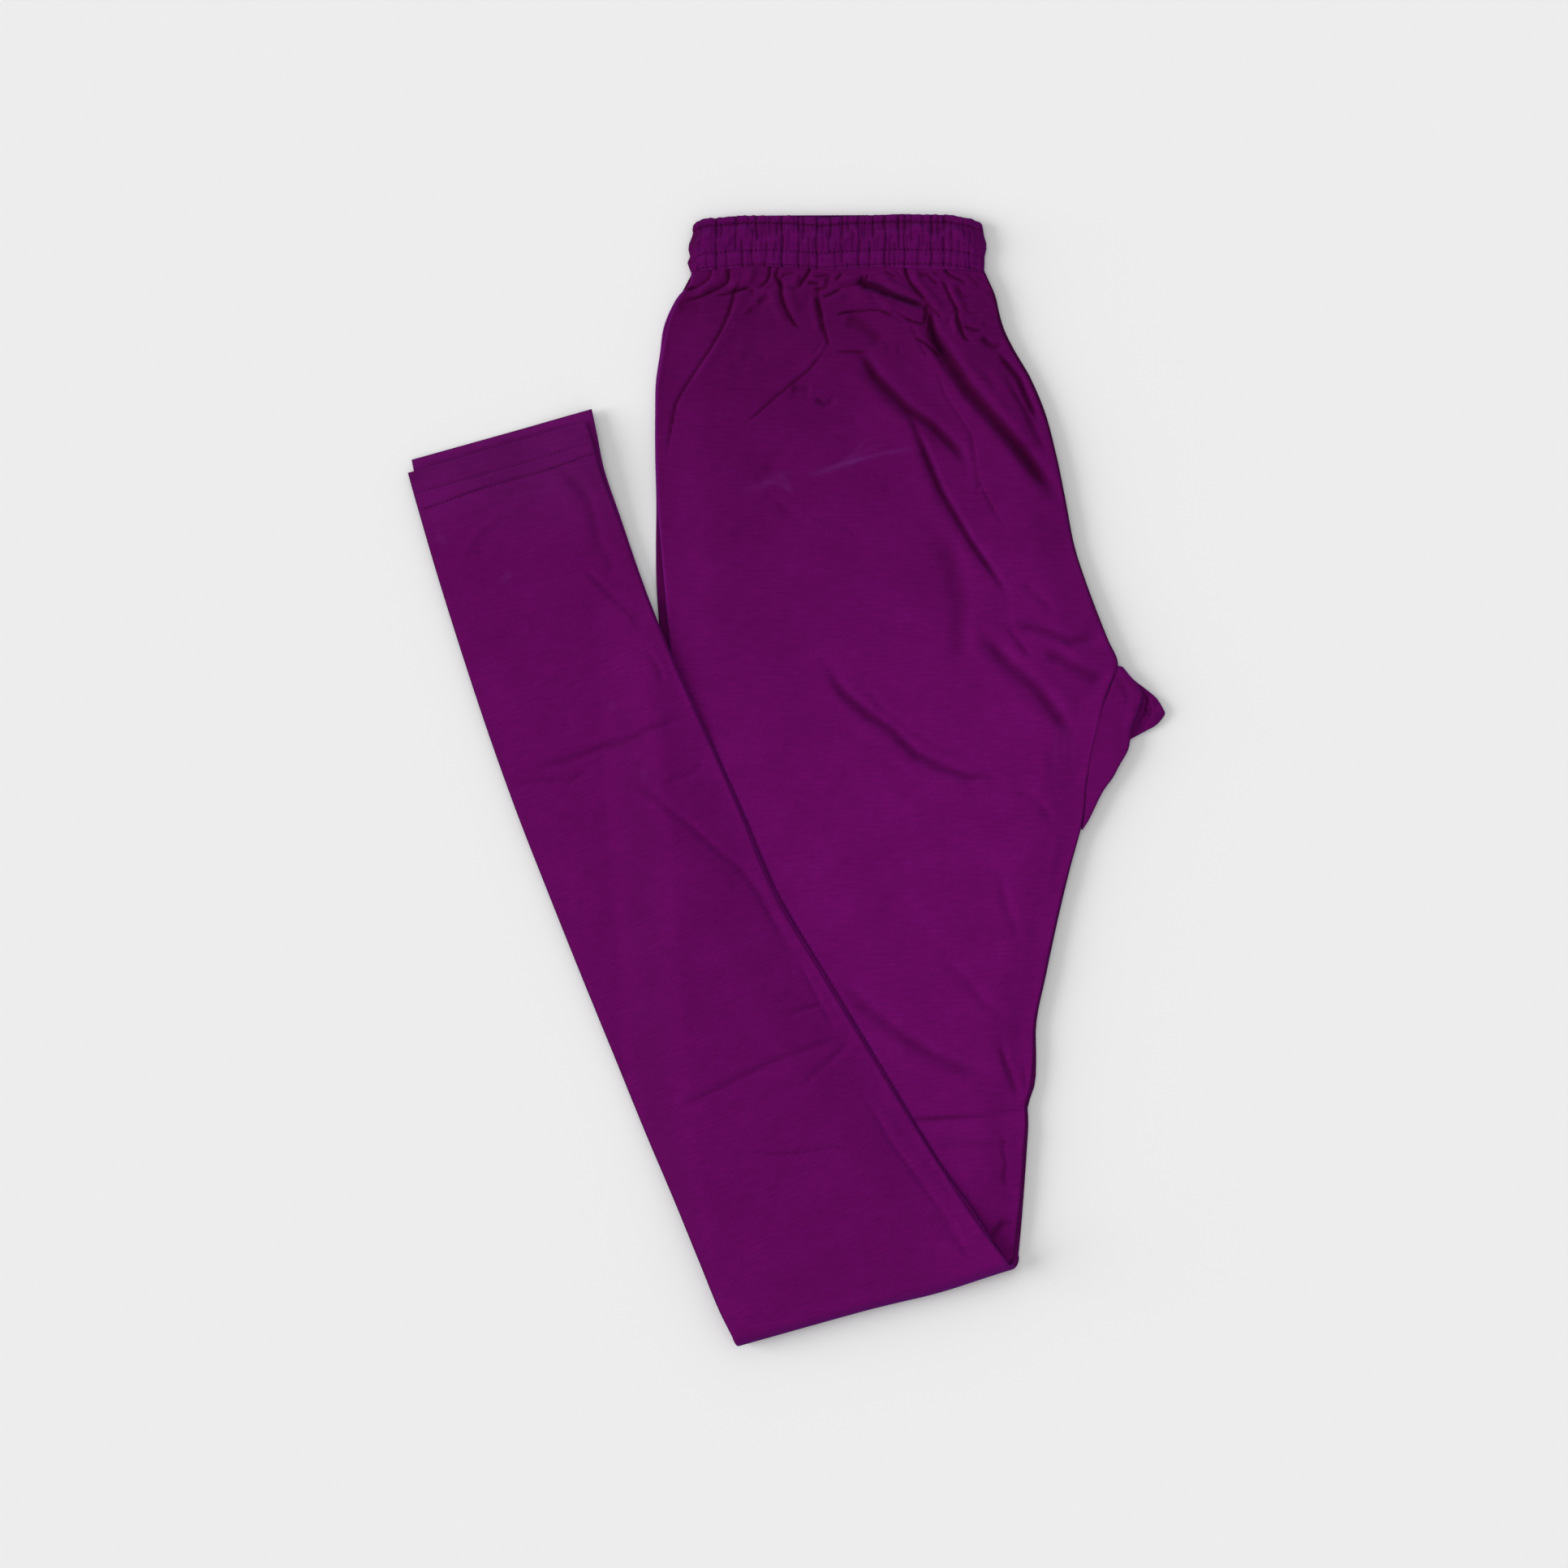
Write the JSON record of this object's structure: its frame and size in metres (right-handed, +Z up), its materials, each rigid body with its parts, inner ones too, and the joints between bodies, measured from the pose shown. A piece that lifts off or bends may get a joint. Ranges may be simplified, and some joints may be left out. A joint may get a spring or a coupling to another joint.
{
  "type": "churidar trousers",
  "caption": "Knit churidar lying flat, folded in half with the legs stacked and turned up at the knee, with a gathered elastic waist.",
  "frame": {"origin": "centre of the footprint, on the surface that the folded garment lies on", "axes": "+Z up from the surface, +Y toward the waistband, +X toward the crotch and gusset"},
  "size_m": [0.3999, 0.5986, 0.0132],
  "materials": {
    "cloth": "matte magenta purple jersey knit",
    "band": "matte magenta purple jersey knit, gathered on elastic"
  },
  "bodies": {
    "root": {"leg_over": "cloth", "leg_under": "cloth", "gusset_over": "cloth", "gusset_under": "cloth", "waistband": "band"}
  },
  "joints": []
}
